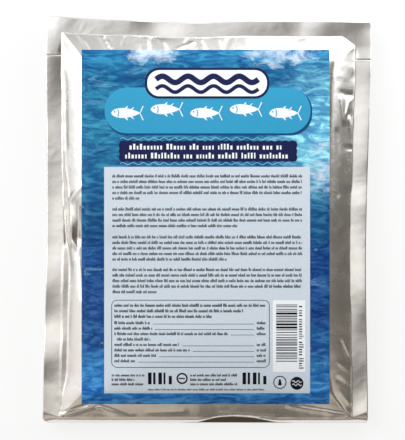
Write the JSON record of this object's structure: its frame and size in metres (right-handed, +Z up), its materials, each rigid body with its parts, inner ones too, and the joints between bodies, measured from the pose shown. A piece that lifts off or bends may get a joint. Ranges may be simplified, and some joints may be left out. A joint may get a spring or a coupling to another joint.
{
  "type": "retort pouch of tuna",
  "caption": "Flat catering retort pouch filled with tuna, foil laminate heat sealed along all four edges, adhesive label on its front, lying on its back.",
  "frame": {"origin": "on the floor under the middle of the outline's bounding box, the pouch lying on its back panel", "axes": "+Z up out of the front panel that carries the label, +Y towards the top seal beside the tear slits, +X to the pouch's right as its label is read"},
  "size_m": [0.309, 0.386, 0.0333],
  "materials": {
    "foil": "satin aluminium foil laminate with soft wrinkles",
    "label": "glossy printed label film, blue water tones"
  },
  "bodies": {
    "root": {"pouch": "foil", "label": "label"}
  },
  "joints": []
}
